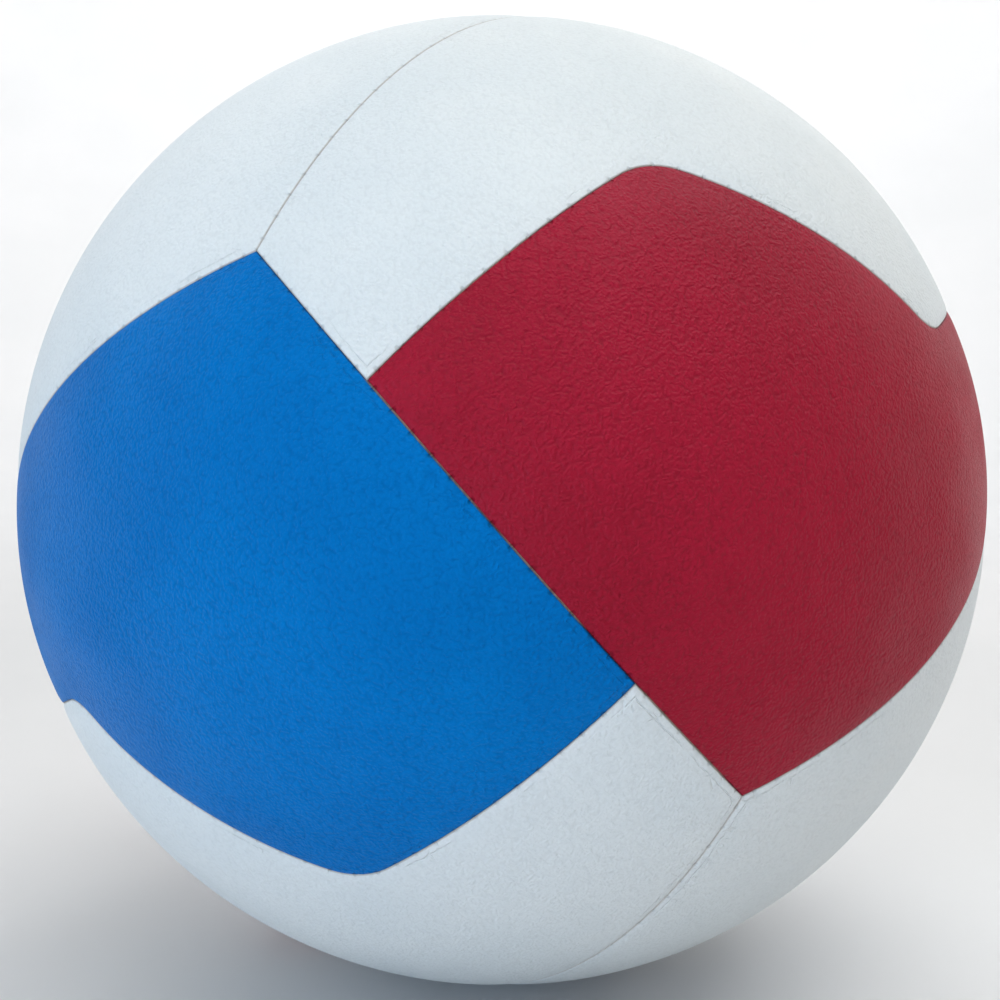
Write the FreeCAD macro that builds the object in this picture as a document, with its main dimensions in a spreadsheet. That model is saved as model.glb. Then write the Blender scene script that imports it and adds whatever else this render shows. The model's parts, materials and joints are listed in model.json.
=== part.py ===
import FreeCAD, Part
import math
import os

import Sketcher

# A weighted training ball: ten stitched leather panels over cloth linings, a
# loaded rubber shell in two halves, an air bladder and its needle valve.
#
# The panels follow a cube drawn on a sphere. Two opposite faces of the cube are
# the cap panels. Each of the four faces between them is split by a Z-shaped
# seam into two equal panels, and half a turn about the face's middle swaps them.
#
# Row frame: origin at the ball's centre, +Z up. The axis through the two caps
# lies in the XZ plane and leans towards -X.

doc = FreeCAD.newDocument("training_ball")

# ---------------------------------------------------------------- sizes, in mm
SIZES = [
    ("BallRadius", 105.0, "outside of the leather"),
    ("CapLean", 42.5, "degrees from +Z to the cap axis, towards -X"),
    ("CoverWall", 1.8, "synthetic leather panel"),
    ("LiningWall", 2.0, "foam-backed cloth glued under each panel"),
    ("WeightWall", 3.5, "loaded rubber shell"),
    ("BladderWall", 1.2, "butyl bladder"),
    ("EdgeRoll", 1.5, "rounding of a panel's outer edge at a seam"),
    ("TeeHeight", 47.0, "from a face's mid-height to the end of its Z seam"),
    ("ElbowAcross", 17.5, "from a face's middle to an elbow of the Z, across"),
    ("ElbowUp", 30.5, "from a face's middle to an elbow of the Z, up"),
    ("ElbowRound", 15.0, "radius of the Z seam's elbows"),
    ("WedgeInner", 50.0, "where the panel wedges start"),
    ("WedgeOuter", 115.0, "where the panel wedges end"),
    ("ThreadRadius", 0.35, "sewing thread"),
    ("ThreadDepth", 0.43, "thread's centre below the ball's surface"),
    ("ThreadGap", 1.2, "thread stops short of each seam junction by this"),
    ("StemRadius", 4.5, "valve stem"),
    ("HeadDrop", 1.0, "valve head below the ball's surface"),
    ("PatchRadius", 19.0, "patch around the valve, inside the bladder"),
    ("PatchWall", 0.8, "patch around the valve"),
    ("FlangeRadius", 13.0, "valve flange"),
    ("FlangeWall", 1.5, "valve flange"),
    ("CoreRadius", 2.2, "self-sealing valve core"),
    ("CoreDrop", 1.6, "core's top below the ball's surface"),
    ("CoreLength", 10.4, "self-sealing valve core"),
    ("NeedleRadius", 1.25, "hole for an inflating needle"),
    ("MouthRadius", 1.9, "countersink at the top of the needle hole"),
    ("MouthDepth", 1.2, "countersink at the top of the needle hole"),
    ("Overrun", 4.0, "how far a cutting tool runs past what it cuts"),
]

sheet = doc.addObject("Spreadsheet::Sheet", "Sizes")
for row, (alias, number, note) in enumerate(SIZES, start=1):
    sheet.set(f"A{row}", alias)
    sheet.set(f"B{row}", str(number))
    sheet.set(f"C{row}", note)
    sheet.setAlias(f"B{row}", alias)
doc.recompute()


def size(alias):
    return float(sheet.get(alias))


def spelled(text):
    """Write <ALIAS> in full, as an expression needs it."""
    return text.replace("<", "Sizes.").replace(">", "")


def bind(thing, **expressions):
    for prop, text in expressions.items():
        thing.setExpression(prop, spelled(text))
    return thing


def add(kind, name, **expressions):
    return bind(doc.addObject(kind, name), **expressions)


# Radii where one layer ends and the next begins, as sheet expressions.
COVER_INNER = "<BallRadius> - <CoverWall>"
LINING_INNER = f"{COVER_INNER} - <LiningWall>"
WEIGHT_INNER = f"{LINING_INNER} - <WeightWall>"
BLADDER_INNER = f"{WEIGHT_INNER} - <BladderWall>"
PATCH_INNER = f"{BLADDER_INNER} - <PatchWall>"
FLANGE_INNER = f"{PATCH_INNER} - <FlangeWall>"

# ------------------------------------------------------------------ placements
X_AXIS = FreeCAD.Vector(1, 0, 0)
Y_AXIS = FreeCAD.Vector(0, 1, 0)
Z_AXIS = FreeCAD.Vector(0, 0, 1)
QUARTER = 90.0
HALF_TURN = 180.0

LEAN = FreeCAD.Rotation(Y_AXIS, -size("CapLean"))


def placed(rotation):
    return FreeCAD.Placement(FreeCAD.Vector(0, 0, 0), LEAN.multiply(rotation))


UPRIGHT = placed(FreeCAD.Rotation())


def face_rotation(longitude, lower):
    """Turn a piece drawn about +Z onto a side face of the upright ball.

    The face's middle goes to the longitude, counted from -Y towards +X, and
    the piece's +Y goes up. A lower piece is first turned half way round.
    """
    spin = FreeCAD.Rotation(Z_AXIS, HALF_TURN if lower else 0.0)
    stand = FreeCAD.Rotation(X_AXIS, QUARTER)
    turn = FreeCAD.Rotation(Z_AXIS, longitude)
    return turn.multiply(stand).multiply(spin)


def cap_rotation(lower):
    square = FreeCAD.Rotation(Z_AXIS, QUARTER / 2)
    flip = FreeCAD.Rotation(X_AXIS, HALF_TURN if lower else 0.0)
    return flip.multiply(square)


# -------------------------------------------------------------- layers of shell
def sphere(name, radius):
    """A ball whose poles and seam stay out of the way of the wedges about +Z."""
    ball = add("Part::Sphere", name, Radius=radius)
    ball.Placement.Rotation = FreeCAD.Rotation(Y_AXIS, QUARTER)
    return ball


def sphere_shell(name, outer, inner):
    shell = doc.addObject("Part::Cut", name)
    shell.Base = sphere(f"{name}_outer", outer)
    shell.Tool = sphere(f"{name}_inner", inner)
    return shell


cover_shell = sphere_shell("cover_shell", "<BallRadius>", COVER_INNER)
lining_shell = sphere_shell("lining_shell", COVER_INNER, LINING_INNER)
patch_shell = sphere_shell("patch_shell", BLADDER_INNER, PATCH_INNER)
flange_shell = sphere_shell("flange_shell", PATCH_INNER, FLANGE_INNER)


# ------------------------------------------- wedges that cut a panel from a layer
START, END = 1, 2


def scaled(alias, plane):
    return f"<{alias}> * <{plane}> / <BallRadius>"


class Outline:
    """A sketch on a body's XY plane, raised to one height of the wedge."""

    def __init__(self, body, name, height):
        self.sketch = body.newObject("Sketcher::SketchObject", name)
        base = [f for f in body.Origin.OriginFeatures if f.Role == "XY_Plane"][0]
        self.sketch.AttachmentSupport = [(base, "")]
        self.sketch.MapMode = "FlatFace"
        bind(self.sketch, **{"AttachmentOffset.Base.z": height})

    def point(self, corner):
        x, y = [self.sketch.evalExpression(spelled(text)) for text in corner]
        return FreeCAD.Vector(x, y, 0)

    def line(self, first, last):
        return self.sketch.addGeometry(Part.LineSegment(first, last))

    def rule(self, *facts):
        return self.sketch.addConstraint(Sketcher.Constraint(*facts))

    def sized_rule(self, text, *facts):
        index = self.rule(*facts, self.sketch.evalExpression(spelled(text)))
        bind(self.sketch, **{f"Constraints[{index}]": text})

    def fix(self, item, end, corner):
        self.sized_rule(corner[0], "DistanceX", item, end)
        self.sized_rule(corner[1], "DistanceY", item, end)

    def arc(self, corner, before, after, radius):
        """An arc that rounds a corner, drawn anticlockwise from before to after."""
        sides = [(other - corner).normalize() for other in (before, after)]
        half = sides[0].getAngle(sides[1]) / 2
        middle = corner + (sides[0] + sides[1]).normalize() * (radius / math.sin(half))
        reach = radius / math.tan(half)
        turns = [(corner + side * reach - middle).getAngle(X_AXIS) for side in sides]
        for i, side in enumerate(sides):
            if (corner + side * reach - middle).y < 0:
                turns[i] = -turns[i]
        circle = Part.Circle(middle, Z_AXIS, radius)
        return self.sketch.addGeometry(Part.ArcOfCircle(circle, *turns))


def outline_sketch(body, name, plane):
    """A side panel's outline, as its wedge has it at one height."""
    side = f"<{plane}>"
    tee = scaled("TeeHeight", plane)
    across = scaled("ElbowAcross", plane)
    up = scaled("ElbowUp", plane)
    round_text = scaled("ElbowRound", plane)
    top_left = (f"-{side}", side)
    tee_left = (f"-{side}", tee)
    elbow_left = (f"-{across}", up)
    elbow_right = (across, f"-{up}")
    tee_right = (side, f"-{tee}")
    top_right = (side, side)

    outline = Outline(body, name, side)
    p_top_left, p_tee_left, p_elbow_left = map(outline.point, (top_left, tee_left, elbow_left))
    p_elbow_right, p_tee_right, p_top_right = map(outline.point, (elbow_right, tee_right, top_right))
    radius = outline.sketch.evalExpression(spelled(round_text))

    left = outline.line(p_top_left, p_tee_left)
    upper = outline.line(p_tee_left, p_elbow_left)
    slope = outline.line(p_elbow_left, p_elbow_right)
    lower = outline.line(p_elbow_right, p_tee_right)
    right = outline.line(p_tee_right, p_top_right)
    top = outline.line(p_top_right, p_top_left)
    for first, last in ((left, upper), (lower, right), (right, top), (top, left)):
        outline.rule("Coincident", first, END, last, START)
    outline.fix(left, START, top_left)
    outline.fix(left, END, tee_left)
    outline.fix(right, START, tee_right)
    outline.fix(right, END, top_right)

    # Each elbow's sharp corner is a construction point on both of its lines.
    elbows = (
        (elbow_left, p_elbow_left, p_elbow_right, p_tee_left, (slope, START), (upper, END)),
        (elbow_right, p_elbow_right, p_elbow_left, p_tee_right, (slope, END), (lower, START)),
    )
    for corner, at, before, after, inward, outward in elbows:
        sharp = outline.sketch.addGeometry(Part.Point(at), True)
        outline.fix(sharp, START, corner)
        outline.rule("PointOnObject", sharp, START, inward[0])
        outline.rule("PointOnObject", sharp, START, outward[0])
        bend = outline.arc(at, before, after, radius)
        outline.rule("Tangent", bend, START, *inward)
        outline.rule("Tangent", bend, END, *outward)
        outline.sized_rule(round_text, "Radius", bend)
    return outline.sketch


def side_panel_wedge():
    body = doc.addObject("PartDesign::Body", "side_wedge")
    inner = outline_sketch(body, "outline_inner", "WedgeInner")
    outer = outline_sketch(body, "outline_outer", "WedgeOuter")
    loft = body.newObject("PartDesign::AdditiveLoft", "side_wedge_loft")
    loft.Profile = (inner, [""])
    loft.Sections = [(outer, [""])]
    loft.Ruled = True
    body.Tip = loft
    return body


def cap_panel_wedge():
    wedge = add("Part::Wedge", "cap_wedge", Ymin="<WedgeInner>", Ymax="<WedgeOuter>")
    for low, high, plane in (("Xmin", "Xmax", "WedgeInner"), ("X2min", "X2max", "WedgeOuter")):
        bind(wedge, **{low: f"-<{plane}>", high: f"<{plane}>"})
        low_z, high_z = low.replace("X", "Z"), high.replace("X", "Z")
        bind(wedge, **{low_z: f"-<{plane}>", high_z: f"<{plane}>"})
    wedge.Placement = FreeCAD.Placement(FreeCAD.Vector(0, 0, 0), FreeCAD.Rotation(X_AXIS, QUARTER))
    return wedge


side_wedge = side_panel_wedge()
cap_wedge = cap_panel_wedge()


# ---------------------------------------------------------- panels and linings
def common(name, base, tool):
    both = doc.addObject("Part::Common", name)
    both.Base = base
    both.Tool = tool
    return both


def outer_edges(shape):
    """Numbers of the edges that lie on the ball's outer surface."""
    slack = 0.01
    radius = size("BallRadius")
    numbers = []
    for number, edge in enumerate(shape.Edges, start=1):
        middle = edge.valueAt((edge.FirstParameter + edge.LastParameter) / 2)
        ends = [vertex.Point for vertex in edge.Vertexes]
        if all(abs(point.Length - radius) < slack for point in [middle, *ends]):
            numbers.append(number)
    return numbers


def rolled(name, blank):
    """The blank with its outer edges rounded over, as leather rolls into a seam."""
    roll = size("EdgeRoll")
    panel = doc.addObject("Part::Fillet", name)
    panel.Base = blank
    panel.Edges = [(number, roll, roll) for number in outer_edges(blank.Shape)]
    return panel


# A side panel's name, the longitude of its face and whether it is the lower one.
SIDE_PANELS = [
    ("blue_front", -45, False),
    ("white_lower_front", -45, True),
    ("white_upper_front", 45, False),
    ("red_front", 45, True),
    ("blue_back", 135, False),
    ("white_lower_back", 135, True),
    ("white_upper_back", -135, False),
    ("red_back", -135, True),
]

nodes = []


def finish_node(thing, placement):
    thing.Placement = placement
    nodes.append(thing)


side_blank = common("side_blank", cover_shell, side_wedge)
cap_blank = common("cap_blank", cover_shell, cap_wedge)
cap_lining_blank = common("cap_lining_blank", lining_shell, cap_wedge)
doc.recompute()

for panel_name, longitude, lower in SIDE_PANELS:
    here = placed(face_rotation(longitude, lower))
    finish_node(rolled(f"panel_{panel_name}", side_blank), here)
    finish_node(common(f"lining_{panel_name}", lining_shell, side_wedge), here)

finish_node(rolled("panel_cap_lower", cap_blank), placed(cap_rotation(True)))
lower_lining = common("lining_cap_lower", lining_shell, cap_wedge)
finish_node(lower_lining, placed(cap_rotation(True)))


# ----------------------------------------- the valve's hole through every layer
def round_bar(name, radius, bottom, top):
    """A cylinder about +Z between two heights, given as sheet expressions."""
    bar = add("Part::Cylinder", name, Radius=radius, Height=f"{top} - ({bottom})")
    bind(bar, **{"Placement.Base.z": bottom})
    return bar


def cut(name, base, tool):
    left = doc.addObject("Part::Cut", name)
    left.Base = base
    left.Tool = tool
    return left


def fused(name, *pieces):
    whole = doc.addObject("Part::MultiFuse", name)
    whole.Shapes = list(pieces)
    return whole


stem_hole = round_bar("stem_hole", "<StemRadius>", f"{FLANGE_INNER} - <Overrun>", "<BallRadius> + <Overrun>")

upper_cap = cut("panel_cap_upper", rolled("cap_upper_blank", cap_blank), stem_hole)
finish_node(upper_cap, placed(cap_rotation(False)))
upper_lining = cut("lining_cap_upper", cap_lining_blank, stem_hole)
finish_node(upper_lining, placed(cap_rotation(False)))


# --------------------------------------------- weight shell, in two hemispheres
def half_ball(name, radius, lower):
    half = add("Part::Sphere", name, Radius=radius)
    half.Angle1 = -QUARTER if lower else 0.0
    half.Angle2 = 0.0 if lower else QUARTER
    return half


weight_core = add("Part::Sphere", "weight_core", Radius=WEIGHT_INNER)
weight_lower = cut("weight_shell_lower", half_ball("weight_half_lower", LINING_INNER, True), weight_core)
finish_node(weight_lower, UPRIGHT)
weight_blank = cut("weight_upper_blank", half_ball("weight_half_upper", LINING_INNER, False), weight_core)
finish_node(cut("weight_shell_upper", weight_blank, stem_hole), UPRIGHT)

# ------------------------------------------------------------ bladder and valve
bladder_shell = sphere_shell("bladder_shell", WEIGHT_INNER, BLADDER_INNER)
finish_node(cut("bladder", bladder_shell, stem_hole), UPRIGHT)

patch_disc = round_bar("patch_disc", "<PatchRadius>", "<WedgeInner>", "<WedgeOuter>")
patch_blank = common("patch_blank", patch_shell, patch_disc)
finish_node(cut("valve_patch", patch_blank, stem_hole), UPRIGHT)

CORE_TOP = "<BallRadius> - <CoreDrop>"
CORE_BOTTOM = f"{CORE_TOP} - <CoreLength>"
flange_disc = round_bar("flange_disc", "<FlangeRadius>", "<WedgeInner>", "<WedgeOuter>")
flange = common("flange", flange_shell, flange_disc)
stem = round_bar("stem", "<StemRadius>", FLANGE_INNER, "<BallRadius> - <HeadDrop>")
core_hole = round_bar("core_hole", "<CoreRadius>", "<WedgeInner>", "<WedgeOuter>")
finish_node(cut("valve_body", fused("valve_blank", flange, stem), core_hole), UPRIGHT)

core_bar = round_bar("core_bar", "<CoreRadius>", CORE_BOTTOM, CORE_TOP)
needle_hole = round_bar("needle_hole", "<NeedleRadius>", f"{CORE_BOTTOM} - <Overrun>", CORE_TOP)
mouth = add("Part::Cone", "mouth", Radius1="<NeedleRadius>", Radius2="<MouthRadius>", Height="<MouthDepth>")
bind(mouth, **{"Placement.Base.z": f"{CORE_TOP} - <MouthDepth>"})
finish_node(cut("valve_core", core_bar, fused("core_tools", needle_hole, mouth)), UPRIGHT)


# --------------------------------------------------------------- sewing threads
THREAD_RUN = size("BallRadius") - size("ThreadDepth")


def tube(first, middle, last):
    """A length of thread along the circle through three points."""
    path = Part.Arc(first, middle, last).toShape()
    heading = path.tangentAt(path.FirstParameter)
    ring = Part.Wire(Part.makeCircle(size("ThreadRadius"), first, heading))
    return Part.Wire(path).makePipeShell([ring], True, True)


def great_arc(first, last):
    """Thread straight over the ball between two directions, short of both."""
    first = FreeCAD.Vector(first).normalize()
    last = FreeCAD.Vector(last).normalize()
    aside = (last - first * first.dot(last)).normalize()
    trim = size("ThreadGap") / THREAD_RUN
    start, stop = trim, first.getAngle(last) - trim
    turns = (start, (start + stop) / 2, stop)
    return tube(*[(first * math.cos(t) + aside * math.sin(t)) * THREAD_RUN for t in turns])


def rounded(corner, before, after):
    """Start, middle and end of the arc that rounds a corner of the Z."""
    sides = [(other - corner).normalize() for other in (before, after)]
    half = sides[0].getAngle(sides[1]) / 2
    reach = size("ElbowRound") / math.tan(half)
    inside = size("ElbowRound") / math.sin(half) - size("ElbowRound")
    bisector = (sides[0] + sides[1]).normalize()
    return corner + sides[0] * reach, corner + bisector * inside, corner + sides[1] * reach


def face_point(x, y):
    """A point on the plane that touches the ball at a side face's middle."""
    return FreeCAD.Vector(x, y, size("BallRadius"))


def zigzag_threads():
    """The Z seam of one side face, drawn about +Z: three runs and two elbows."""
    radius = size("BallRadius")
    tees = [face_point(-radius, size("TeeHeight")), face_point(radius, -size("TeeHeight"))]
    corners = [
        face_point(-size("ElbowAcross"), size("ElbowUp")),
        face_point(size("ElbowAcross"), -size("ElbowUp")),
    ]
    bends = [rounded(corners[0], tees[0], corners[1]), rounded(corners[1], corners[0], tees[1])]
    runs = [(tees[0], bends[0][0]), (bends[0][2], bends[1][0]), (bends[1][2], tees[1])]
    lengths = [great_arc(*run) for run in runs]
    for bend in bends:
        lengths.append(tube(*[FreeCAD.Vector(p).normalize() * THREAD_RUN for p in bend]))
    return lengths


def edge_threads(first, last):
    """The seam along one edge of a side face, between two of its corners."""
    radius = size("BallRadius")
    ends = [face_point(x * radius, y * radius) for x, y in (first, last)]
    return [great_arc(*ends)]


def turned(shape, rotation):
    copy = shape.copy()
    copy.Placement = FreeCAD.Placement(FreeCAD.Vector(0, 0, 0), rotation)
    return copy


def thread_node(name, lengths):
    """The same threads on each of the four side faces."""
    thread = doc.addObject("Part::Feature", name)
    faces = [face_rotation(longitude, False) for _, longitude, lower in SIDE_PANELS if not lower]
    thread.Shape = Part.makeCompound([turned(one, face) for face in faces for one in lengths])
    finish_node(thread, UPRIGHT)


thread_node("thread_cap_upper", edge_threads((-1, 1), (1, 1)))
thread_node("thread_cap_lower", edge_threads((-1, -1), (1, -1)))
thread_node("thread_uprights", edge_threads((1, 1), (1, -1)))
thread_node("thread_zigzags", zigzag_threads())

doc.recompute()


def report_failures():
    for thing in doc.Objects:
        if "Invalid" in thing.State or "Error" in thing.State:
            raise RuntimeError(f"{thing.Label} failed: {thing.State}")
    for node in nodes:
        if node.Shape.isNull() or not node.Shape.isValid():
            raise RuntimeError(f"{node.Label} has a bad shape")


report_failures()
os.makedirs("parts", exist_ok=True)
for node in nodes:
    node.Shape.exportStep(f"parts/{node.Label}.step")
    print(node.Label, len(node.Shape.Solids), round(node.Shape.Volume, 1))
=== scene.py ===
"""The looks of a weighted training ball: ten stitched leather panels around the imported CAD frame."""

import json
import math

import bpy
import numpy as np
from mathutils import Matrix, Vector, kdtree, noise


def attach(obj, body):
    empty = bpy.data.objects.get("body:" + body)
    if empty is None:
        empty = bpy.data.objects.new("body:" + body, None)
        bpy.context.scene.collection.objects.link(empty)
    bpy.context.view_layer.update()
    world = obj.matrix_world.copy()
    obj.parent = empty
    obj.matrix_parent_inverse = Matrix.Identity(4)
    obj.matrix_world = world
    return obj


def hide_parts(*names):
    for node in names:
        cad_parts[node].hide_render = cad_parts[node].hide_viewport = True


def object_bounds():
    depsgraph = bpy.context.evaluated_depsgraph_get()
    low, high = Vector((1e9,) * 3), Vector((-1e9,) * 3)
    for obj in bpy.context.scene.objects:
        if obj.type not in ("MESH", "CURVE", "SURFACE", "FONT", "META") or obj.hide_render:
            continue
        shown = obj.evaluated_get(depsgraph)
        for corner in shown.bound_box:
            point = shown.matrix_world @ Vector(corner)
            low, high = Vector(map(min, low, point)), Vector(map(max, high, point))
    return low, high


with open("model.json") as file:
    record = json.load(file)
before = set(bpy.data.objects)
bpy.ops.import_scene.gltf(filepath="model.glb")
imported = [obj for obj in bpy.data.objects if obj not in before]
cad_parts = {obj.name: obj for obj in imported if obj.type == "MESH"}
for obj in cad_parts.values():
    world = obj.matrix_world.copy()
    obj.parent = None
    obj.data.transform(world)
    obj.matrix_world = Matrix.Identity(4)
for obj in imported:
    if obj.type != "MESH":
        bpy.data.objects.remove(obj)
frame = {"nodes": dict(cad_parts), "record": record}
CAD_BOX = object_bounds()

# ------------------------------------------------------------------ driving sizes
# The ball's own lengths are in millimetres, and become metres in new_mesh().
MM = 0.001
RADIUS = (CAD_BOX[1][1] - CAD_BOX[0][1]) / 2 / MM
CAP_LEAN = math.radians(42.5)  # from +Z to the cap axis, towards -X

# The seams are drawn on the faces of a cube round the ball. On a face, x goes
# east, y goes up, and its edges are at -1 and 1.
TEE = 0.4476  # a Z seam ends this far above or below a face's mid-height
ELBOW = (0.1667, 0.2905)  # the Z seam's elbow, across and up from the middle
ELBOW_ROUND = 0.143
CORNER_OUT, CAP_BULGE = 0.012, 0.035  # a cap edge: ends beyond 1, middle short of it
TWIST = 0.0105  # the upper cap's turn about its axis, and the lower cap's the other way

CROWN_DROP, CROWN_REACH = 0.30, 8.0  # a panel's slow fall towards its seams
BEVEL_DROP, BEVEL_REACH = 0.22, 2.2  # the turned-in hem along each edge
HEM_DIP, HEM_AT, HEM_WIDE = 0.11, 2.2, 0.5  # the shallow valley where the hem ends
CREASE_AT = 1.4  # the line of fine wrinkles beside a seam
ROLL = 0.30  # radius of the leather's fold at the seam itself
LUMP = 0.22  # slow unevenness of the whole ball
LUMP_WAVE, RIPPLE_WAVE, STRETCH_WAVE = 55.0, 17.0, 24.0  # across one swell of the unevenness
CRACK = 0.018  # half the gap between two panels
PANEL_WALL = 1.72  # the ball's surface to a panel's hidden inner side
SKIRT_DROPS = (1.35, 1.55)  # rings below a panel's edge, down to its inner side
COARSE = 6  # fine grid steps to one step of the inner side

STITCH_PITCH = 4.6
THREAD_RADIUS = 0.17
THREAD_REACH = 0.38  # half of a stitch, from the seam into the leather
THREAD_RISE = -0.06  # a stitch's middle over the seam's bottom
THREAD_BOW = 0.45  # how far its ends lie below its middle
THREAD_SLANT = 0.3
THREAD_RINGS, THREAD_SIDES = 7, 6

HOLE_RADIUS = 4.7  # the valve's hole in the upper cap
HOLE_ROLL = 0.8  # radius of the leather's fold at the hole
HOLE_DIP, HOLE_REACH = 0.35, 3.0
MIDDLE_RING = 0.5  # radius of the small face in the middle of a cap without a hole
GRAIN = 0.62  # across one pebble of the leather's grain
SEED = 7


# ------------------------------------------------------------ directions and faces
def unit(points):
    return points / np.linalg.norm(points, axis=-1, keepdims=True)


def leaning(points):
    """From the ball with its caps up and down to the ball as it lies."""
    c, s = math.cos(CAP_LEAN), math.sin(CAP_LEAN)
    x, y, z = points[..., 0], points[..., 1], points[..., 2]
    return np.stack([c * x - s * z, y, s * x + c * z], axis=-1)


def twisted(points):
    """Turned about the cap axis, the more the nearer to a cap: the sewing's slight twist."""
    turn = TWIST * math.sqrt(3) * points[..., 2]
    c, s = np.cos(turn), np.sin(turn)
    x, y = points[..., 0], points[..., 1]
    return np.stack([c * x - s * y, s * x + c * y, points[..., 2]], axis=-1)


def on_face(flat, longitude):
    """Unit directions of points on a side face. Longitude 0 is -Y, 90 is +X."""
    turn = math.radians(longitude)
    east = np.array([math.cos(turn), math.sin(turn), 0.0])
    out = np.array([math.sin(turn), -math.cos(turn), 0.0])
    up = np.array([0.0, 0.0, 1.0])
    x, y = flat[..., 0, None], flat[..., 1, None]
    return leaning(twisted(unit(x * east + y * up + out)))


CAP_AXIS = leaning(np.array([0.0, 0.0, 1.0]))
FACES = (-45, 45, 135, -135)


# ------------------------------------------------------------------- seam curves
def evenly(path, count):
    """The same path with its points evenly spaced along it."""
    steps = np.linalg.norm(np.diff(path, axis=0), axis=1)
    along = np.concatenate([[0], np.cumsum(steps)])
    wanted = np.linspace(0, along[-1], count) if np.isscalar(count) else count * along[-1]
    return np.stack([np.interp(wanted, along, path[:, k]) for k in range(path.shape[1])], axis=1)


def rounded_corner(before, corner, after, radius, count=24):
    """Points along the arc that rounds a corner between two straight lines."""
    sides = [unit(before - corner), unit(after - corner)]
    half = math.acos(float(sides[0] @ sides[1])) / 2
    bisector = unit(sides[0] + sides[1])
    middle = corner + bisector * radius / math.sin(half)
    spokes = [corner + side * radius / math.tan(half) - middle for side in sides]
    turn = math.acos(float(unit(spokes[0]) @ unit(spokes[1])))
    weights = np.linspace(0, 1, count)[:, None]
    arc = np.sin((1 - weights) * turn) * spokes[0] + np.sin(weights * turn) * spokes[1]
    return middle + arc / math.sin(turn)


def z_curve():
    """A side face's Z seam, from its left edge to its right edge."""
    start, end = np.array([-1, TEE]), np.array([1, -TEE])
    first, second = np.array([-ELBOW[0], ELBOW[1]]), np.array(ELBOW) * [1, -1]
    bends = [
        rounded_corner(start, first, second, ELBOW_ROUND),
        rounded_corner(first, second, end, ELBOW_ROUND),
    ]
    return np.concatenate([[start], *bends, [end]])


def cap_curve():
    """The upper edge of a side face, which is also a cap panel's edge."""
    x = np.linspace(-1, 1, 400)
    return np.stack([x, 1 + CORNER_OUT - (CORNER_OUT + CAP_BULGE) * (1 - x**2)], axis=1)


def upright_curve():
    steep = math.atan(1 + CORNER_OUT)
    y = np.tan(np.linspace(steep, -steep, 400))
    return np.stack([np.ones_like(y), y], axis=1)


SEAM_CURVES = {
    "cap_upper": cap_curve(),
    "cap_lower": -cap_curve(),
    "uprights": upright_curve(),
    "zigzags": z_curve(),
}


class Seams:
    """Every seam as closely spaced points, to find how near a place is to one."""

    STEP = 0.2

    def __init__(self):
        self.runs = []
        points, tangents, alongs, owners = [], [], [], []
        for group, curve in SEAM_CURVES.items():
            for longitude in FACES:
                rough = on_face(evenly(curve, 3000), longitude) * RADIUS
                length = float(np.linalg.norm(np.diff(rough, axis=0), axis=1).sum())
                path = evenly(rough, int(length / self.STEP))
                owners += [len(self.runs)] * len(path)
                self.runs.append({"group": group, "path": path, "length": length})
                points.append(path)
                tangents.append(unit(np.gradient(path, axis=0)))
                alongs.append(np.linspace(0, length, len(path)))
        self.points = np.concatenate(points)
        self.tangents = np.concatenate(tangents)
        self.alongs = np.concatenate(alongs)
        self.owners = np.array(owners)
        self.tree = kdtree.KDTree(len(self.points))
        for i, point in enumerate(self.points):
            self.tree.insert(point, i)
        self.tree.balance()

    def nearest(self, places):
        """Distance to the nearest seam, how far along it and its length."""
        found = np.array([self.tree.find(place)[1] for place in places])
        offset = places - self.points[found]
        slip = np.einsum("ij,ij->i", offset, self.tangents[found])
        slip = np.clip(slip, -self.STEP, self.STEP)
        aside = offset - slip[:, None] * self.tangents[found]
        lengths = np.array([run["length"] for run in self.runs])[self.owners[found]]
        return np.linalg.norm(aside, axis=1), self.alongs[found] + slip, lengths


seams = Seams()
JUNCTIONS = np.concatenate([on_face(np.array([[-1, TEE], [1, -TEE]]), turn) for turn in FACES]) * RADIUS


def stitch_step(length):
    """The stitches' spacing, so that a whole number of them fills a seam."""
    return length / round(length / STITCH_PITCH)


# ------------------------------------------------------------- the leather's relief
def slow_noise(directions, wave, seed):
    """Smooth noise over the ball, about -1 to 1, with bumps about a wave apart."""
    shift = Vector((seed * 13.7, seed * 5.1, -seed * 9.3))
    scale = RADIUS / wave
    return np.array([noise.noise(Vector(d) * scale + shift) for d in directions])


def leather_drop(directions):
    """How far the leather lies below the ball's radius, the distance to the nearest
    seam, and how many stitches along that seam."""
    distance, along, length = seams.nearest(directions * RADIUS)
    drop = CROWN_DROP * np.exp(-distance / CROWN_REACH)
    drop += BEVEL_DROP * np.clip(1 - distance / BEVEL_REACH, 0, 1) ** 1.6
    stretches = np.clip(0.45 + 1.1 * slow_noise(directions, STRETCH_WAVE, SEED + 2), 0, 1)
    drop += HEM_DIP * stretches * np.exp(-(((distance - HEM_AT) / HEM_WIDE) ** 2))
    fold = np.clip(ROLL - distance, 0, ROLL)
    drop += ROLL - np.sqrt(ROLL**2 - fold**2)
    drop += LUMP * (0.5 - 0.5 * slow_noise(directions, LUMP_WAVE, SEED))
    drop += 0.3 * LUMP * (0.5 - 0.5 * slow_noise(directions, RIPPLE_WAVE, SEED + 1))
    return drop, distance, along * np.round(length / STITCH_PITCH) / length


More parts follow.
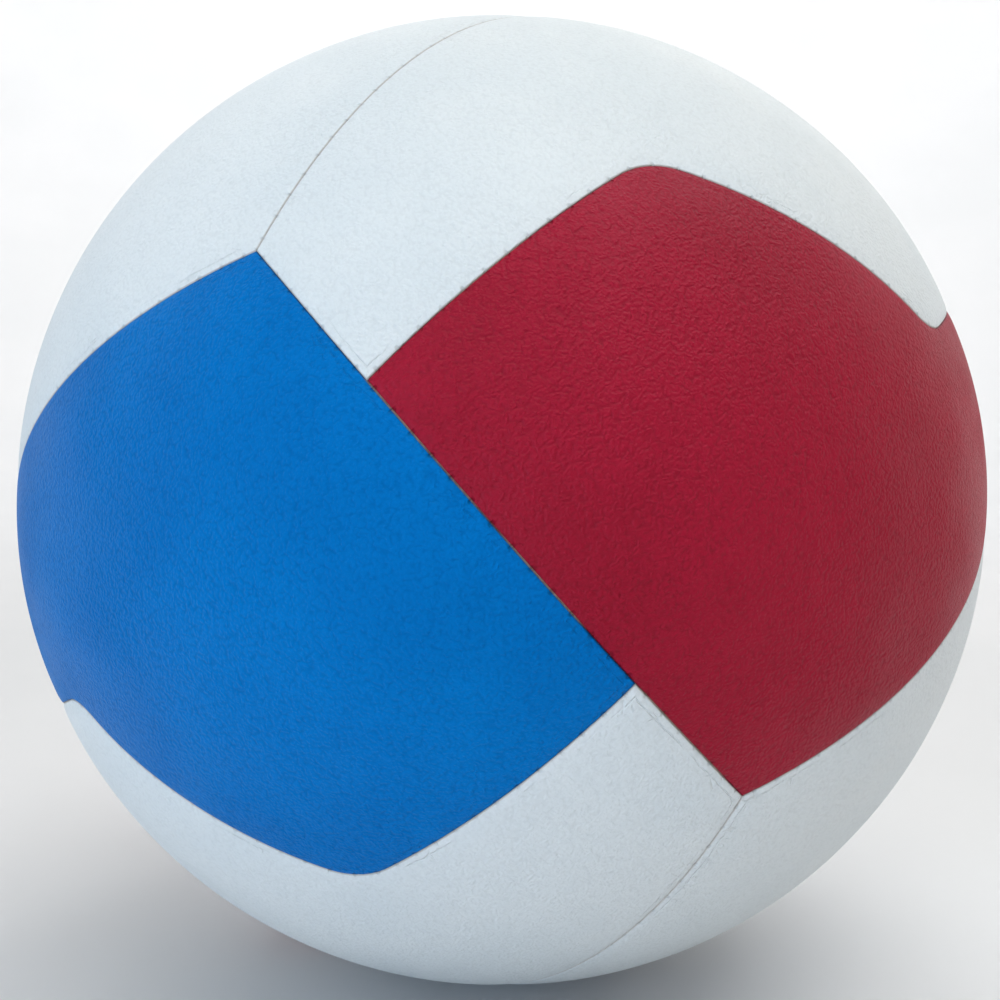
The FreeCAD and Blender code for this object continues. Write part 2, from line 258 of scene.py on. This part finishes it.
# ------------------------------------------------------------------ mesh building
def new_mesh(name, vertices, faces, attributes=None):
    """A piece from vertices in millimetres, with smooth shading."""
    mesh = bpy.data.meshes.new(name)
    mesh.from_pydata([tuple(v) for v in np.asarray(vertices) * MM], [], faces)
    for label, values in (attributes or {}).items():
        layer = mesh.attributes.new(label, "FLOAT", "POINT")
        layer.data.foreach_set("value", np.asarray(values, dtype=np.float32))
    mesh.polygons.foreach_set("use_smooth", [True] * len(mesh.polygons))
    mesh.update()
    piece = bpy.data.objects.new(name, mesh)
    bpy.context.scene.collection.objects.link(piece)
    return piece


def crowded(count, strength):
    """From 0 to 1 with the points crowded towards both ends."""
    t = np.linspace(-1, 1, count)
    return (1 + np.tanh(strength * t) / math.tanh(strength)) / 2


class Sheet:
    """Collects a panel's vertices and faces: a fine outer side, a coarse inner one."""

    def __init__(self):
        self.directions = []
        self.radii = []
        self.faces = []
        self.seam = []
        self.stitches = []
        self.count = 0

    def add(self, directions, radii, seam=None, stitches=None):
        """Adds vertices and gives back their numbers."""
        first = self.count
        size = len(directions)
        self.directions.append(directions)
        self.radii.append(np.broadcast_to(radii, size))
        self.seam.append(np.zeros(size) if seam is None else seam)
        self.stitches.append(np.zeros(size) if stitches is None else stitches)
        self.count += size
        return np.arange(first, first + size)

    def grid(self, index, flip=False):
        """Adds a four-sided face for each cell of a grid of vertex numbers."""
        a, b = index[:-1, :-1].ravel(), index[:-1, 1:].ravel()
        c, d = index[1:, 1:].ravel(), index[1:, :-1].ravel()
        quads = np.stack([a, d, c, b] if flip else [a, b, c, d], axis=1)
        self.faces += quads.tolist()

    def skirt(self, outer, rings, inner, flip=False):
        """Joins a closed fine loop to a closed coarse one through rings below it."""
        loops = [outer, *rings]
        for upper, lower in zip(loops, loops[1:]):
            band = np.stack([np.append(upper, upper[0]), np.append(lower, lower[0])])
            self.grid(band, not flip)
        last = np.append(loops[-1], loops[-1][0])
        coarse = np.append(inner, inner[0])
        for k in range(len(inner)):
            fine_side = last[k * COARSE : (k + 1) * COARSE + 1].tolist()
            face = [*fine_side, int(coarse[k + 1]), int(coarse[k])]
            self.faces.append(face if flip else face[::-1])

    def piece(self, name):
        directions = np.concatenate(self.directions)
        radii = np.concatenate(self.radii)
        to_junction = np.linalg.norm(directions[:, None] * RADIUS - JUNCTIONS[None], axis=2).min(axis=1)
        facts = {
            "seam": np.concatenate(self.seam),
            "stitches": np.concatenate(self.stitches),
            "junction": to_junction,
        }
        return new_mesh(name, directions * radii[:, None], self.faces, facts)


def loop_of(index):
    """The outer loop of a grid of vertex numbers."""
    return np.concatenate([index[0, :-1], index[:-1, -1], index[-1, :0:-1], index[:0:-1, 0]])


def side_panel(name, longitude, lower):
    rows, columns = 20 * COARSE + 1, 34 * COARSE + 1
    share = crowded(columns, 1.3)
    bottom, top = evenly(z_curve(), share), evenly(cap_curve(), share)
    rise = crowded(rows, 2.1)[:, None, None]
    flat = bottom[None] * (1 - rise) + top[None] * rise

    # The crack: the outline is drawn in a little from the seams. The panel's long edges
    # are half a unit from its middle, so they move in by 0.8 of CRACK.
    middle = flat.mean(axis=(0, 1))
    flat = middle + (flat - middle) * (1 - CRACK / RADIUS * 1.6)
    if lower:
        flat = -flat
    directions = on_face(flat, longitude)
    sheet = Sheet()
    lie = directions.reshape(-1, 3)
    drop, distance, stitches = leather_drop(lie)
    fine = sheet.add(lie, RADIUS - drop, distance, stitches).reshape(rows, columns)
    sheet.grid(fine)
    edge = loop_of(fine)
    rings = [sheet.add(lie[edge], RADIUS - drop_to) for drop_to in SKIRT_DROPS]
    thin = directions[::COARSE, ::COARSE]
    inner = sheet.add(thin.reshape(-1, 3), RADIUS - PANEL_WALL).reshape(thin.shape[:2])
    sheet.grid(inner, flip=True)
    sheet.skirt(edge, rings, loop_of(inner))
    return sheet.piece(name)


def cap_outline(lower, count):
    """Directions round a cap panel's edge, from four side faces."""
    sign = -1 if lower else 1
    curve = evenly(cap_curve(), crowded(count + 1, 1.2))[:-1] * [1, sign]
    return np.concatenate([on_face(curve, longitude) for longitude in FACES])


def cap_panel(name, lower, hole):
    """A cap panel as rings from its middle, or from the valve's hole, to its edge."""
    axis = -CAP_AXIS if lower else CAP_AXIS
    outline = cap_outline(lower, 22 * COARSE)
    across = unit(outline - (outline @ axis)[:, None] * axis)
    start = (hole or MIDDLE_RING) / RADIUS
    reach = np.arccos(np.clip(outline @ axis, -1, 1)) - CRACK / RADIUS
    shares = crowded(20 * COARSE + 1, 2.0)[:, None]
    angles = start + (reach - start)[None] * shares
    directions = np.cos(angles)[..., None] * axis + np.sin(angles)[..., None] * across[None]
    lie = directions.reshape(-1, 3)
    drop, distance, stitches = leather_drop(lie)
    if hole:
        from_hole = np.arccos(np.clip(lie @ axis, -1, 1)) * RADIUS - hole
        fold = np.clip(HOLE_ROLL - from_hole, 0, HOLE_ROLL)
        drop += HOLE_ROLL - np.sqrt(HOLE_ROLL**2 - fold**2)
        drop += HOLE_DIP * np.exp(-from_hole / HOLE_REACH)
    sheet = Sheet()
    fine = sheet.add(lie, RADIUS - drop, distance, stitches).reshape(directions.shape[:2])
    thin = directions[::COARSE, ::COARSE]
    inner = sheet.add(thin.reshape(-1, 3), RADIUS - PANEL_WALL).reshape(thin.shape[:2])
    wrapped, inner_wrapped = [np.concatenate([g, g[:, :1]], axis=1) for g in (fine, inner)]
    sheet.grid(wrapped, flip=not lower)
    sheet.grid(inner_wrapped, flip=lower)
    rings = [sheet.add(directions[-1], RADIUS - drop_to) for drop_to in SKIRT_DROPS]
    sheet.skirt(fine[-1], rings, inner[-1], flip=lower)
    if hole:
        rings = [sheet.add(directions[0], RADIUS - drop_to) for drop_to in SKIRT_DROPS]
        sheet.skirt(fine[0], rings, inner[0], flip=not lower)
    else:
        for ring, turned in ((fine[0], lower), (inner[0], not lower)):
            sheet.faces.append(ring.tolist() if turned else ring[::-1].tolist())
    return sheet.piece(name)


# ------------------------------------------------------------------ node materials
class Nodes:
    """Short ways to make and join a material's nodes."""

    def __init__(self, name):
        self.material = bpy.data.materials.new(name)
        self.material.use_nodes = True
        self.tree = self.material.node_tree
        self.shader = self.tree.nodes["Principled BSDF"]

    def link(self, value, socket):
        if isinstance(value, bpy.types.NodeSocket):
            self.tree.links.new(value, socket)
        else:
            socket.default_value = value

    def make(self, kind, inputs=(), **settings):
        node = self.tree.nodes.new(kind)
        for key, value in settings.items():
            setattr(node, key, value)
        for socket, value in dict(inputs).items():
            self.link(value, node.inputs[socket])
        return node

    def math(self, operation, a, b=0.0):
        return self.make("ShaderNodeMath", {0: a, 1: b}, operation=operation).outputs[0]

    def ramp(self, value, low, high, to_low=0.0, to_high=1.0):
        """A smooth step: to_low where the value is low, to_high where it is high."""
        inputs = {"Value": value, "From Min": low, "From Max": high, "To Min": to_low, "To Max": to_high}
        node = self.make("ShaderNodeMapRange", inputs, interpolation_type="SMOOTHSTEP")
        return node.outputs["Result"]

    def mix(self, share, a, b):
        node = self.make("ShaderNodeMix", data_type="RGBA")
        self.link(share, node.inputs[0])
        self.link(a, node.inputs[6])
        self.link(b, node.inputs[7])
        return node.outputs[2]

    def place(self):
        """The point on the piece, in millimetres."""
        return self.scaled(self.make("ShaderNodeTexCoord").outputs["Object"], 1 / MM)

    def scaled(self, vector, factor):
        inputs = {0: vector, "Scale": factor}
        return self.make("ShaderNodeVectorMath", inputs, operation="SCALE").outputs[0]

    def noise(self, place, wave, detail=2.0, rough=0.5, twist=0.0):
        inputs = {"Vector": place, "Scale": 1 / wave, "Detail": detail}
        inputs |= {"Roughness": rough, "Distortion": twist}
        return self.make("ShaderNodeTexNoise", inputs).outputs[0]

    def cells(self, place, wave, feature="SMOOTH_F1"):
        node = self.make("ShaderNodeTexVoronoi", feature=feature)
        self.link(place, node.inputs["Vector"])
        node.inputs["Scale"].default_value = 1 / wave
        return node.outputs["Distance"]

    def attribute(self, name):
        return self.make("ShaderNodeAttribute", attribute_name=name).outputs["Fac"]

    def bump(self, height, distance, strength=1.0, under=None):
        inputs = {"Height": height, "Distance": distance * MM, "Strength": strength}
        if under is not None:
            inputs["Normal"] = under
        return self.make("ShaderNodeBump", inputs).outputs[0]


def leather(name, light, dark, shade_and_scuff, fold, worn, pit_shade, depth, creasing, specular, gloss_tint):
    """Pebbled synthetic leather. The colours are linear. The fold colour is a painted shade
    along each seam, and the third colour is a painted shade in the grain's hollows and the
    stitches' nicks that also colours the scuffs. worn, the hollows' painted shade and creasing
    go from 0 to 1, and depth is the relief of the grain in millimetres."""
    n = Nodes(name)
    place = n.place()
    seam = n.attribute("seam")
    shifted = n.make("ShaderNodeVectorMath", {0: place, 1: warp(n, place)}, operation="ADD").outputs[0]
    grain = n.cells(shifted, GRAIN)
    fine = n.noise(place, 0.4, 3.0, 0.6)
    flow = n.noise(stretched(n, place), 1.5, 3.0, 0.55, 0.6)
    patches = n.noise(place, 21.0, 2.0)
    notch = notches(n, seam)

    colour = n.mix(n.ramp(n.noise(place, 38.0, 3.0), 0.35, 0.65), dark, light)
    colour = n.mix(n.ramp(n.noise(place, 2.6, 4.0, 0.6), 0.35, 0.75, 0.0, 0.35), colour, dark)
    # painted shade: the grain's hollows and the fine noise's low places are darkened, as if in shade
    colour = n.mix(n.ramp(grain, 0.3, 0.8, 0.0, pit_shade), colour, shade_and_scuff)
    colour = n.mix(n.ramp(fine, 0.3, 0.7, 0.5 * pit_shade, 0.0), colour, shade_and_scuff)
    colour = n.mix(n.math("MULTIPLY", scuffs(n, shifted), 0.45), colour, shade_and_scuff)
    # painted shade: the colour darkens right along each seam, where the crack between the panels lies in
    # shade; on the white leather the shade is warm-tinted
    colour = n.mix(n.ramp(seam, 0.06, 0.36, 0.7, 0.0), colour, fold)
    # painted shade: each stitch's nick at the seam is darkened, as if in shade
    colour = n.mix(n.math("MULTIPLY", notch, 0.3), colour, shade_and_scuff)
    worn_stretch = n.ramp(n.noise(place, 26.0, 1.0), 0.46, 0.54)
    bare = n.math("MULTIPLY", n.ramp(seam, 0.05, 0.2, worn, 0.0), worn_stretch)
    colour = n.mix(bare, colour, BACKING)
    n.link(colour, n.shader.inputs["Base Color"])

    rough = n.ramp(patches, 0.3, 0.7, 0.43, 0.54)
    n.link(n.math("ADD", rough, n.math("MULTIPLY", grain, 0.1)), n.shader.inputs["Roughness"])

    pebble = n.math("MULTIPLY", n.math("SUBTRACT", 1.0, grain), n.ramp(patches, 0.3, 0.7, 0.6, 1.0))
    relief = n.math("ADD", pebble, n.math("MULTIPLY", fine, 0.45))
    relief = n.math("ADD", relief, n.math("MULTIPLY", flow, 0.5))
    relief = n.math("SUBTRACT", relief, n.math("MULTIPLY", notch, 1.0))
    n.link(n.bump(relief, depth, 1.0, creases(n, place, seam, creasing)), n.shader.inputs["Normal"])
    n.shader.inputs["Specular IOR Level"].default_value = specular
    n.shader.inputs["Specular Tint"].default_value = gloss_tint
    return n.material


def stretched(n, place):
    """The place drawn out along one slanting direction, for the leather's flow lines."""
    node = n.make("ShaderNodeMapping", {"Vector": place}, vector_type="TEXTURE")
    node.inputs["Rotation"].default_value = (0.5, 0.9, 0.3)
    node.inputs["Scale"].default_value = (1.0, 3.2, 1.4)
    return node.outputs[0]


def notches(n, seam):
    """The small nick that each stitch pulls into the folded edge."""
    within = n.math("FRACT", n.attribute("stitches"))
    off = n.math("MULTIPLY", n.math("ABSOLUTE", n.math("SUBTRACT", within, 0.5)), STITCH_PITCH)
    return n.math("MULTIPLY", n.ramp(off, 0.12, 0.42, 1.0, 0.0), n.ramp(seam, 0.2, 0.75, 1.0, 0.0))


def scuffs(n, place):
    """A few tiny marks, far apart."""
    dots = n.ramp(n.cells(place, 17.0, "F1"), 0.012, 0.03, 1.0, 0.0)
    return n.math("MULTIPLY", dots, n.ramp(n.noise(place, 0.7, 2.0), 0.35, 0.55))


def warp(n, place):
    """A small sideways shift that keeps the grain's cells from looking regular."""
    node = n.make("ShaderNodeTexNoise", {"Vector": place, "Scale": 0.5, "Detail": 2.0})
    middle = {0: node.outputs["Color"], 1: (0.5, 0.5, 0.5)}
    centred = n.make("ShaderNodeVectorMath", middle, operation="SUBTRACT")
    return n.scaled(centred.outputs[0], 1.6)


def creases(n, place, seam, strength):
    """Wrinkles in the turned-in hem, on some stretches of seam and where seams meet:
    long ones that run beside the seam, and a few crackled ones."""
    junction = n.ramp(n.attribute("junction"), 3.0, 9.0, 1.0, 0.0)
    patchy = n.ramp(n.noise(place, 15.0, 2.0), 0.5, 0.62)
    some = n.math("MAXIMUM", junction, patchy)
    wander = n.math("MULTIPLY", n.math("SUBTRACT", n.noise(place, 3.6, 3.0), 0.5), 1.3)
    strayed = n.math("ADD", seam, wander)
    gap = n.math("ABSOLUTE", n.math("SUBTRACT", strayed, CREASE_AT))
    beside = n.ramp(gap, 0.0, 0.2)
    crackle = n.ramp(n.cells(place, 2.9, "DISTANCE_TO_EDGE"), 0.0, 0.06)
    broken = n.ramp(n.noise(place, 4.1, 2.0), 0.4, 0.48)
    crackle = n.math("MAXIMUM", crackle, broken)
    lines = n.math("MINIMUM", beside, crackle)
    near = n.math("MULTIPLY", n.ramp(seam, 0.3, 0.8), n.ramp(seam, 2.2, 3.8, 1.0, 0.0))
    depth = n.math("MULTIPLY", near, some)
    height = n.math("MULTIPLY", n.math("SUBTRACT", lines, 1.0), depth)
    return n.bump(height, 0.13, strength)


def plain_cloth(name, colour, shade, wave):
    """A rough cloth with threads about a wave apart."""
    n = Nodes(name)
    place = n.place()
    weave = n.cells(place, wave)
    n.link(n.mix(n.ramp(weave, 0.1, 0.7), shade, colour), n.shader.inputs["Base Color"])
    n.shader.inputs["Roughness"].default_value = 0.9
    n.link(n.bump(weave, 0.1), n.shader.inputs["Normal"])
    return n.material


def moulded_rubber(name, colour, shade):
    """Dull, slightly speckled rubber."""
    n = Nodes(name)
    place = n.place()
    speck = n.noise(place, 0.8, 4.0, 0.6)
    n.link(n.mix(n.ramp(speck, 0.35, 0.7), colour, shade), n.shader.inputs["Base Color"])
    n.link(n.ramp(n.noise(place, 3.0), 0.3, 0.7, 0.5, 0.72), n.shader.inputs["Roughness"])
    n.link(n.bump(speck, 0.05, 0.6), n.shader.inputs["Normal"])
    return n.material


def opaque(r, g, b):
    return (r, g, b, 1.0)


CLEAR = opaque(1.0, 1.0, 1.0)
BACKING = opaque(0.48, 0.38, 0.29)  # the leather's cloth side, bare in places at a seam

# In each leather below, the fold colour is painted shade along the seams, and the third colour is
# painted shade for the grain's hollows and the stitches' nicks, and also the colour of the scuffs.
MATERIALS = {
    "blue_leather": leather(
        "blue_leather",
        light=opaque(0.0003, 0.192, 0.600),
        dark=opaque(0.0002, 0.164, 0.535),
        shade_and_scuff=opaque(0.0003, 0.060, 0.240),
        fold=opaque(0.006, 0.070, 0.220),
        worn=0.8,
        pit_shade=0.26,
        depth=0.38,
        creasing=0.9,
        specular=0.25,
        gloss_tint=opaque(0.05, 0.65, 1.0),
    ),
    "red_leather": leather(
        "red_leather",
        light=opaque(0.395, 0.0022, 0.025),
        dark=opaque(0.338, 0.0012, 0.019),
        shade_and_scuff=opaque(0.120, 0.001, 0.006),
        fold=opaque(0.120, 0.002, 0.010),
        worn=0.8,
        pit_shade=0.26,
        depth=0.38,
        creasing=0.35,
        specular=0.30,
        gloss_tint=opaque(1.0, 0.62, 0.8),
    ),
    "white_leather": leather(
        "white_leather",
        light=opaque(0.790, 0.835, 0.850),
        dark=opaque(0.745, 0.800, 0.825),
        shade_and_scuff=opaque(0.470, 0.500, 0.510),
        fold=opaque(0.500, 0.450, 0.410),
        worn=0.0,
        pit_shade=0.16,
        depth=0.19,
        creasing=1.0,
        specular=0.3,
        gloss_tint=CLEAR,
    ),
    "lining_cloth": plain_cloth(
        "lining_cloth", opaque(0.30, 0.29, 0.27), opaque(0.16, 0.15, 0.14), wave=0.5
    ),
    "loaded_rubber": moulded_rubber(
        "loaded_rubber", opaque(0.02, 0.02, 0.021), opaque(0.045, 0.045, 0.047)
    ),
    "bladder_rubber": moulded_rubber(
        "bladder_rubber", opaque(0.015, 0.015, 0.015), opaque(0.03, 0.03, 0.03)
    ),
    "valve_rubber": moulded_rubber(
        "valve_rubber", opaque(0.035, 0.035, 0.037), opaque(0.07, 0.07, 0.074)
    ),
    "thread": plain_cloth("thread", opaque(0.30, 0.29, 0.28), opaque(0.16, 0.155, 0.15), wave=0.2),
}


def finish_piece(piece, slot, *nodes):
    """Gives a piece its material, hangs it on the root body and hides the CAD nodes that it stands for.
    """
    piece.data.materials.append(MATERIALS[slot])
    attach(piece, "root")
    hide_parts(*nodes)


# ------------------------------------------------------------------- the ten panels
SIDE_PANELS = [
    ("blue_front", -45, False, "blue_leather"),
    ("white_lower_front", -45, True, "white_leather"),
    ("white_upper_front", 45, False, "white_leather"),
    ("red_front", 45, True, "red_leather"),
    ("blue_back", 135, False, "blue_leather"),
    ("white_lower_back", 135, True, "white_leather"),
    ("white_upper_back", -135, False, "white_leather"),
    ("red_back", -135, True, "red_leather"),
]

for panel_name, longitude, lower, slot in SIDE_PANELS:
    panel = side_panel(f"leather_{panel_name}", longitude, lower)
    finish_piece(panel, slot, f"panel_{panel_name}")

finish_piece(cap_panel("leather_cap_upper", False, HOLE_RADIUS), "white_leather", "panel_cap_upper")
finish_piece(cap_panel("leather_cap_lower", True, None), "white_leather", "panel_cap_lower")


# ------------------------------------------------------------------------ stitches
def stitch(path, at, length):
    """One stitch across a seam: a short bowed thread from one panel to the other."""
    here = at / length * (len(path) - 1)
    i = min(int(here), len(path) - 2)
    centre = path[i] + (path[i + 1] - path[i]) * (here - i)
    out = unit(centre)
    forward = unit(path[i + 1] - path[i])
    aside = np.cross(out, forward)
    across = aside + forward * THREAD_SLANT
    top = RADIUS - leather_drop(out[None])[0][0] + THREAD_RISE
    turn = np.arange(THREAD_SIDES)[:, None] * 2 * math.pi / THREAD_SIDES
    rings = []
    for k in range(THREAD_RINGS):
        t = -1 + 2 * k / (THREAD_RINGS - 1)
        middle = out * (top - THREAD_BOW * t**2) + across * THREAD_REACH * t
        heading = unit(across - out * t * 1.1)
        up = unit(np.cross(heading, forward))
        over = np.cross(up, heading)
        swell = THREAD_RADIUS if 0 < k < THREAD_RINGS - 1 else THREAD_RADIUS / 2
        rings.append(middle + swell * (np.cos(turn) * up + np.sin(turn) * over))
    return np.concatenate(rings)


def stitches(group):
    """All the stitches of one group of seams, each a closed thread."""
    last = (THREAD_RINGS - 1) * THREAD_SIDES
    vertices, faces, total = [], [], 0
    for run in seams.runs:
        if run["group"] != group:
            continue
        step = stitch_step(run["length"])
        for k in range(round(run["length"] / step)):
            points = stitch(run["path"], (k + 0.5) * step, run["length"])
            vertices.append(points)
            for ring in range(total, total + last, THREAD_SIDES):
                for side in range(THREAD_SIDES):
                    a, b = ring + side, ring + (side + 1) % THREAD_SIDES
                    faces.append([a, b, b + THREAD_SIDES, a + THREAD_SIDES])
            faces.append([total + side for side in range(THREAD_SIDES)][::-1])
            faces.append([total + last + side for side in range(THREAD_SIDES)])
            total += len(points)
    return new_mesh(f"stitches_{group}", np.concatenate(vertices), faces)


for group in SEAM_CURVES:
    finish_piece(stitches(group), "thread", f"thread_{group}")


# ------------------------------------------------- materials of the other CAD nodes
for entry in frame["record"]["subparts"]:
    node = frame["nodes"][entry["node"]]
    if node.data.materials:
        node.data.materials[0] = MATERIALS[entry["material_slot"]]
    else:
        node.data.materials.append(MATERIALS[entry["material_slot"]])


# ------------------------------------------------------------ floor, light, camera
FLOOR_SIDES = 72
WALL_STEPS = 16
FLAT_TO, WALL_BEND, WALL_TOP = 1400, 1200, 4500  # millimetres


def floor():
    """A pale round studio floor that curves up into a wall."""
    n = Nodes("pale_floor")
    place = n.place()
    soft = n.ramp(n.noise(place, 260.0, 3.0), 0.3, 0.7)
    colour = n.mix(soft, opaque(0.75, 0.755, 0.76), opaque(0.78, 0.78, 0.785))
    n.link(colour, n.shader.inputs["Base Color"])
    n.shader.inputs["Roughness"].default_value = 0.85
    n.shader.inputs["Specular IOR Level"].default_value = 0.1
    rises = [math.pi / 2 * k / WALL_STEPS for k in range(WALL_STEPS + 1)]
    curve = [(FLAT_TO + WALL_BEND * math.sin(rise), WALL_BEND * (1 - math.cos(rise))) for rise in rises]
    profile = [(100, 0.0), (600, 0.0), *curve, (FLAT_TO + WALL_BEND, WALL_TOP)]
    level = CAD_BOX[0][2] / MM
    around = [2 * math.pi * k / FLOOR_SIDES for k in range(FLOOR_SIDES)]
    spokes = [(math.cos(turn), math.sin(turn)) for turn in around]
    corners = [(r * x, r * y, z + level) for r, z in profile for x, y in spokes]
    rings = np.arange(len(corners)).reshape(len(profile), FLOOR_SIDES)
    wrapped = np.concatenate([rings, rings[:, :1]], axis=1)
    a, b, c, d = wrapped[:-1, :-1], wrapped[:-1, 1:], wrapped[1:, 1:], wrapped[1:, :-1]
    quads = np.stack([a, d, c, b], axis=-1).reshape(-1, 4).tolist()
    piece = new_mesh("floor", corners, [rings[0].tolist(), *quads])
    piece.data.materials.append(n.material)


def soft_box(name, azimuth, elevation, distance, width, power, colour):
    """A square studio light aimed at the ball. An azimuth of 0 is the camera's side, 90 its right."""
    light = bpy.data.lights.new(name, "AREA")
    light.shape = "SQUARE"
    light.size = width
    light.energy = power
    light.color = colour
    holder = bpy.data.objects.new(name, light)
    a, e = math.radians(azimuth), math.radians(elevation)
    spot = Vector((math.sin(a) * math.cos(e), -math.cos(a) * math.cos(e), math.sin(e))) * distance
    holder.location = spot
    holder.rotation_euler = spot.to_track_quat("Z", "Y").to_euler()
    bpy.context.scene.collection.objects.link(holder)


def wall_wash():
    """A long light above and behind the ball, aimed down at the floor there."""
    light = bpy.data.lights.new("wall_wash", "AREA")
    light.shape = "RECTANGLE"
    light.size, light.size_y = 3.5, 0.6
    light.energy = 62.0
    holder = bpy.data.objects.new("wall_wash", light)
    holder.location = (0.0, 1.3, 2.4)
    holder.rotation_euler = Vector((0.0, 1.3, -1.0)).to_track_quat("-Z", "Y").to_euler()
    bpy.context.scene.collection.objects.link(holder)


def surroundings():
    """A nearly dark world: the light comes from the boxes and the pale floor."""
    world = bpy.data.worlds.new("studio")
    world.use_nodes = True
    back = world.node_tree.nodes["Background"]
    back.inputs["Color"].default_value = (0.95, 0.98, 1.0, 1.0)
    back.inputs["Strength"].default_value = 0.02
    bpy.context.scene.world = world


CAMERA_DISTANCE = 2.9  # in ball radii, from the ball's middle
CAMERA_RISE = math.radians(2.94)
SENSOR = 36.0
BALL_SHARE = 0.9734  # the ball's width in the picture's
AIM_SHIFT = -0.0018  # in picture widths


def camera():
    """A camera in front of the ball, a little above its middle, that the ball nearly fills."""
    data = bpy.data.cameras.new("camera")
    data.sensor_width = SENSOR
    half_tan = 1 / math.sqrt(CAMERA_DISTANCE**2 - 1)
    data.lens = SENSOR * BALL_SHARE / 2 / half_tan
    data.shift_x = AIM_SHIFT
    data.clip_start = 0.01
    holder = bpy.data.objects.new("camera", data)
    away = CAMERA_DISTANCE * RADIUS * MM
    spot = Vector((0, -math.cos(CAMERA_RISE), math.sin(CAMERA_RISE))) * away
    holder.location = spot
    holder.rotation_euler = spot.to_track_quat("Z", "Y").to_euler()
    bpy.context.scene.collection.objects.link(holder)
    bpy.context.scene.camera = holder


floor()
surroundings()
wall_wash()
soft_box("key", 12, 64, 1.3, 1.0, 5.9, (1.0, 0.97, 0.88))
soft_box("top", 70, 70, 1.3, 1.2, 7.2, (0.95, 0.975, 1.0))
soft_box("low_left", -37, -4, 0.9, 0.45, 5.2, (0.63, 0.80, 1.0))
soft_box("warm_right", 88, 16, 1.1, 0.6, 0.4, (1.0, 0.85, 0.78))
soft_box("warm_edge", 125, 8, 1.1, 0.6, 0.4, (1.0, 0.78, 0.66))
camera()
bpy.context.scene.view_settings.view_transform = "Standard"
